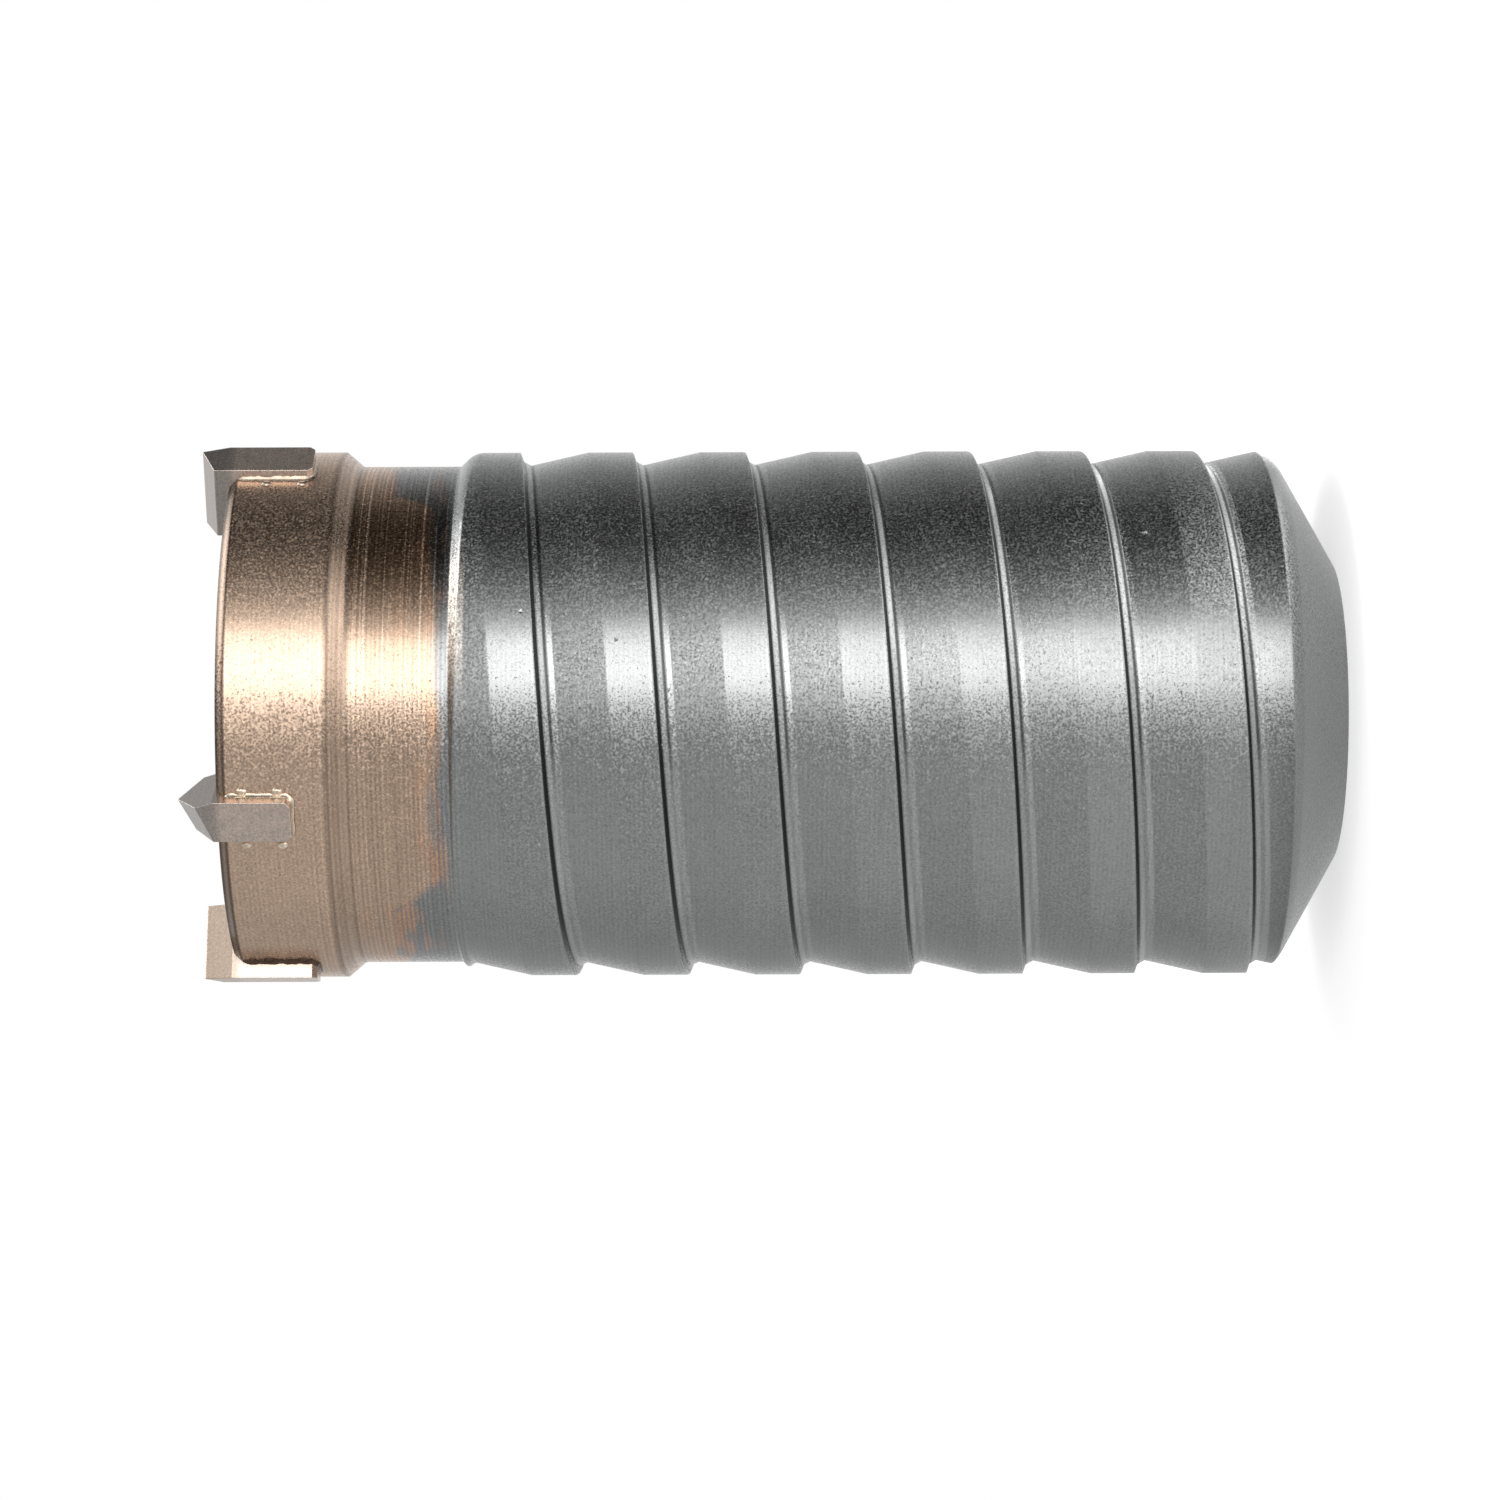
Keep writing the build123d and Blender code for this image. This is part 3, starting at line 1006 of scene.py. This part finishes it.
def make_fine_metal(name, colors, roughness, look, stain=None, tip=None, start=0):
    """A ground or flowed metal: two colours in patches, straight marks and a fine grain.

    Its look holds its sizes in millimetres and the strength of its grain and marks. Above
    the start it may have the colour of its tip, and a stain: a colour, and a line that gives
    its strength for each angle.
    """
    material, tree, shader, position = metal_material(name)
    inputs = {"Position": position, "Streak Width": GRINDING_WIDTH}
    rings = use_group(tree, turning_group, inputs)
    edges = use_group(tree, edge_group, {"Radius": look["rounding"] * MM})
    normal = bumped(tree, rings["Streaks"], GRINDING_BUMP * look["marks"], edges["Normal"])
    inputs = {
        "Position": position,
        "Normal": normal,
        "Grain Size": look["grain"] * MM,
        "Tilt": look["tilt"],
        "Patch Size": look["patch"] * MM,
    }
    grain = use_group(tree, grain_group, inputs)
    tree.links.new(grain["Normal"], shader.inputs["Normal"])

    color = mix_colors(tree, contrasted(tree, grain["Patches"], FINE_PATCH_CONTRAST), *colors)
    if stain:
        stain_color, strength = stain
        heat = use_group(tree, tint_group, {"Position": position})
        height = axes_of(tree, position)["Z"]
        above = curve(tree, height, [(start * MM, 0.0), ((start + TIP_FADE) * MM, 1.0)])
        if tip:
            color = mix_colors(tree, above, color, tip)
        share = product(tree, curve(tree, heat["Angle"], strength), above)
        color = mix_colors(tree, share, color, stain_color)

    grit = ranged(tree, grain["Sparkle"], *GRIT_TONES)
    streaks = ranged(tree, rings["Streaks"], 1.0 - look["marks"], 1.0 + look["marks"])
    # Lighter edges: partly rubbed wear, partly a painted highlight.
    shade = product(tree, grit, streaks, ranged(tree, edges["Edge"], *WEAR_AND_HIGHLIGHT_TONES))
    tree.links.new(scaled_color(tree, color, shade), shader.inputs["Base Color"])
    rough = ranged(tree, grain["Sparkle"], roughness - SMOOTHER, roughness + ROUGHER)
    tree.links.new(rough, shader.inputs["Roughness"])
    return material


ground = {"grain": 0.2, "patch": 1.1, "rounding": 0.12, "tilt": 0.22, "marks": 0.15}
flowed = {"grain": 0.12, "patch": 0.5, "rounding": 0.08, "tilt": 0.3, "marks": 0.1}
stain = (CARBIDE_STAIN, STAIN_BY_ANGLE)
carbide = make_fine_metal("ground_carbide", CARBIDE, 0.28, ground, stain, CARBIDE_TIP, TIP_START)
braze = make_fine_metal("braze_metal", BRAZE, 0.30, flowed, (BURNT_AND_SHADOW, BURNT_AND_SHADOW_BY_ANGLE))
burnt_braze = make_fine_metal("burnt_braze", BURNT_BRAZE, 0.34, flowed)
print("fine metals:", carbide.name, braze.name, burnt_braze.name)

# %% [markdown]
# The teeth and the seams keep the shapes of the solids, so all that they need is a material
# each, and the name of a node says which. The crown gets its steel too, and the next step
# then gives it its thread.

# %% Materials on the solids
def dress(piece, material):
    """Gives a piece its material."""
    piece.data.materials.clear()
    piece.data.materials.append(material)


for name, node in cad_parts.items():
    if name.startswith("carbide_tooth"):
        dress(node, carbide)
    elif name.startswith("braze_seam"):
        dress(node, burnt_braze)
    else:
        dress(node, steel)
print("dressed", len(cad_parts), "solids")

# %% [markdown]
# The solid has a plain bore where the shank screws in. Here the bore's faces are taken out
# of a copy of the crown, and a real thread takes their place: each point of the new wall lies
# at the radius that an M16 thread has there, and both mouths open with a lead-in cone. The
# wall's points stand at the same angles as the old mouths, so it meets the solid without a gap.

# %% Crown with its thread
BORE_RADIUS = 7.0
THREAD_RADIUS = 8.0
THREAD_PITCH = 2.0
LEAD_IN = 1.2
BACK_WALL = 15.5
THREAD_STEP_ALONG = 0.125
MARGIN = 0.05
AT_BACK_FACE = 0.01
FLAT = 0.99


def thread_radius(angle, height):
    """The wall of an internal thread: flat crests and roots, and flanks at 60 degrees."""
    place = (height - THREAD_PITCH * angle / (2 * math.pi)) % THREAD_PITCH
    from_root = abs(place - THREAD_PITCH / 2)
    flank = (from_root - THREAD_PITCH / 16) / math.tan(math.radians(30))
    cut = min(max(THREAD_RADIUS - max(flank, 0), BORE_RADIUS), THREAD_RADIUS)
    mouth = BORE_RADIUS + LEAD_IN - min(height, BACK_WALL - height)
    return max(cut, mouth)


def in_bore(face):
    """Whether a face of the crown belongs to the plain bore or one of its mouths."""
    widest = (BORE_RADIUS + LEAD_IN + MARGIN) * MM
    top = (BACK_WALL + MARGIN) * MM
    places = [v.co for v in face.verts]
    inside = all(math.hypot(place.x, place.y) < widest and place.z < top for place in places)
    return inside and abs(face.normal.z) < FLAT


def make_threaded_crown():
    """A copy of the crown whose plain bore is replaced by a threaded one."""
    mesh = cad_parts["crown_body"].data.copy()
    mesh.name = "threaded_crown"
    form = bmesh.new()
    form.from_mesh(mesh)
    bore = [face for face in form.faces if in_bore(face)]
    mouth = [v.co for face in bore for v in face.verts if v.co.z < AT_BACK_FACE * MM]
    turns = [math.atan2(place.y, place.x) for place in mouth]
    angles = sorted({round(turn, 4): turn for turn in turns}.values())
    bmesh.ops.delete(form, geom=bore, context="FACES")
    rows = round(BACK_WALL / THREAD_STEP_ALONG)
    grid = []
    for row in range(rows + 1):
        height = BACK_WALL * row / rows
        ring = []
        for angle in angles:
            radius = thread_radius(angle, height)
            place = Vector((radius * math.cos(angle), radius * math.sin(angle), height))
            ring.append(form.verts.new(place * MM))
        grid.append(ring)
    for low, high in zip(grid, grid[1:]):
        for step in range(len(angles)):
            after = (step + 1) % len(angles)
            form.faces.new((low[step], high[step], high[after], low[after])).smooth = True
    form.to_mesh(mesh)
    form.free()
    crown = bpy.data.objects.new("threaded_crown", mesh)
    scene.collection.objects.link(crown)
    dress(crown, steel)
    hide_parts("crown_body")
    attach(crown, "root")
    return crown


crown = make_threaded_crown()
print("threaded crown:", len(crown.data.polygons), "faces")

# %% [markdown]
# Molten braze climbs the walls of a tooth and sets in a small hollow fillet. Each fillet is
# a closed bead with five points round it: high on the tooth's wall, down on the head, and one
# in the corner between them. It follows the seam from the rim, round the back of the tooth
# and up to the rim again, and its width wanders, as a seam made by hand does.

# %% Braze fillets
HEAD_RADIUS = 23.525
HALF_TOOTH = 1.92
TOOTH_LENGTH = 9.86
REAR_CHAMFER = 0.45
FILLET_TOP = 96.6
SHARP_ANGLE = 60
TIP_HEIGHTS = {"pointed": 100.85, "straight": 99.95}
TOOTH_SEATS = [
    (-162.0, "straight"),
    (-112.2, "pointed"),
    (-25.0, "straight"),
    (49.3, "pointed"),
    (123.7, "straight"),
]
# Each point is how far it lies from the tooth's wall, and how high above the head.
FILLET_SECTION = [(-0.02, 0.36), (0.05, 0.15), (0.15, 0.05), (0.28, -0.03), (-0.02, -0.08)]
FILLET_STEP = 0.35
FILLET_WIDTHS = (0.8, 1.2)
FILLET_END_WIDTH = 0.3


def seam_path(kind):
    """Points on the tooth's outline with the direction away from it, from rim to rim."""
    rear = TIP_HEIGHTS[kind] - TOOTH_LENGTH
    corners = [
        (HALF_TOOTH, FILLET_TOP),
        (HALF_TOOTH, rear + REAR_CHAMFER),
        (HALF_TOOTH - REAR_CHAMFER, rear),
        (-HALF_TOOTH + REAR_CHAMFER, rear),
        (-HALF_TOOTH, rear + REAR_CHAMFER),
        (-HALF_TOOTH, FILLET_TOP),
    ]
    runs = list(zip(corners, corners[1:]))
    outward = [Vector((z0 - z1, y1 - y0)).normalized() for (y0, z0), (y1, z1) in runs]
    points = []
    for index, ((y0, z0), (y1, z1)) in enumerate(runs):
        count = max(2, round(math.hypot(y1 - y0, z1 - z0) / FILLET_STEP))
        before = outward[max(index - 1, 0)]
        for part in range(count):
            away = outward[index] if part else (before + outward[index]).normalized()
            points.append((y0 + (y1 - y0) * part / count, z0 + (z1 - z0) * part / count, away))
    points.append((*corners[-1], outward[-1]))
    return points


def add_piece(name, mesh, material, turn):
    """Makes a closed mesh a smooth piece of the crown, turned to its seat."""
    form = bmesh.new()
    form.from_mesh(mesh)
    bmesh.ops.recalc_face_normals(form, faces=form.faces)
    form.to_mesh(mesh)
    form.free()
    mesh.transform(Matrix.Rotation(math.radians(turn), 4, "Z"))
    mesh.shade_smooth()
    mesh.set_sharp_from_angle(angle=math.radians(SHARP_ANGLE))
    piece = bpy.data.objects.new(name, mesh)
    scene.collection.objects.link(piece)
    dress(piece, material)
    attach(piece, "root")
    return piece


def make_fillet(number, angle, kind):
    """The strip of braze round one tooth, on the outside of the head."""
    wander = random.Random(number)
    points = []
    path = seam_path(kind)
    for index, (y, z, away) in enumerate(path):
        at_end = index in (0, len(path) - 1)
        width = FILLET_END_WIDTH if at_end else wander.uniform(*FILLET_WIDTHS)
        for offset, rise in FILLET_SECTION:
            side = y + away.x * offset * width
            height = z + away.y * offset * width
            surface = math.sqrt(HEAD_RADIUS**2 - side**2)
            lift = rise * width if rise > 0 else rise
            points.append(Vector((surface + lift, side, height)) * MM)
    across = len(FILLET_SECTION)
    faces = [tuple(range(across)), tuple(range(len(points) - across, len(points)))]
    for row in range(len(path) - 1):
        near, far = row * across, (row + 1) * across
        for col in range(across):
            after = (col + 1) % across
            faces.append((near + col, far + col, far + after, near + after))
    mesh = bpy.data.meshes.new(f"braze_fillet_{number}")
    mesh.from_pydata(points, [], faces)
    return add_piece(mesh.name, mesh, braze, angle)


fillets = [make_fillet(number, *seat) for number, seat in enumerate(TOOTH_SEATS, start=1)]
print("braze fillets:", len(fillets))

# %% [markdown]
# Before brazing, the steel beside each slot is punched twice on each side, which grips the
# tooth. A punch throws up a small lump of steel, and braze wets it, so it shines. Each mark
# here is a low bead with a slightly sunk middle, made of rings of points and closed below.

# %% Punch marks
MARK_SIZE = 0.5
MARK_STEPS = 12
MARK_NARROWING = 0.8
MARK_PROFILE = [(0.0, 0.16), (0.3, 0.20), (0.6, 0.18), (0.85, 0.08), (1.0, -0.03)]
MARK_PLACES = [
    (HALF_TOOTH + 0.36, 4.2),
    (HALF_TOOTH + 0.36, 1.2),
    (-HALF_TOOTH - 0.75, 4.0),
    (-HALF_TOOTH - 0.75, 0.9),
]


def make_marks(number, angle, kind):
    """The four punch marks beside one tooth, in one mesh."""
    form = bmesh.new()
    rear = TIP_HEIGHTS[kind] - TOOTH_LENGTH
    for side, height in MARK_PLACES:
        rings = []
        for share, rise in MARK_PROFILE:
            ring = []
            for step in range(MARK_STEPS if share else 1):
                turn = 2 * math.pi * step / MARK_STEPS
                y = side + MARK_SIZE * share * MARK_NARROWING * math.cos(turn)
                z = rear + height + MARK_SIZE * share * math.sin(turn)
                x = math.sqrt(HEAD_RADIUS**2 - y**2) + rise
                ring.append(form.verts.new(Vector((x, y, z)) * MM))
            rings.append(ring)
        for step in range(MARK_STEPS):
            after = (step + 1) % MARK_STEPS
            form.faces.new((rings[0][0], rings[1][step], rings[1][after]))
            for inner, outer in zip(rings[1:], rings[2:]):
                form.faces.new((inner[step], outer[step], outer[after], inner[after]))
        form.faces.new(rings[-1])
    mesh = bpy.data.meshes.new(f"punch_marks_{number}")
    form.to_mesh(mesh)
    form.free()
    return add_piece(mesh.name, mesh, braze, angle)


marks = [make_marks(number, *seat) for number, seat in enumerate(TOOTH_SEATS, start=1)]
print("sets of punch marks:", len(marks))
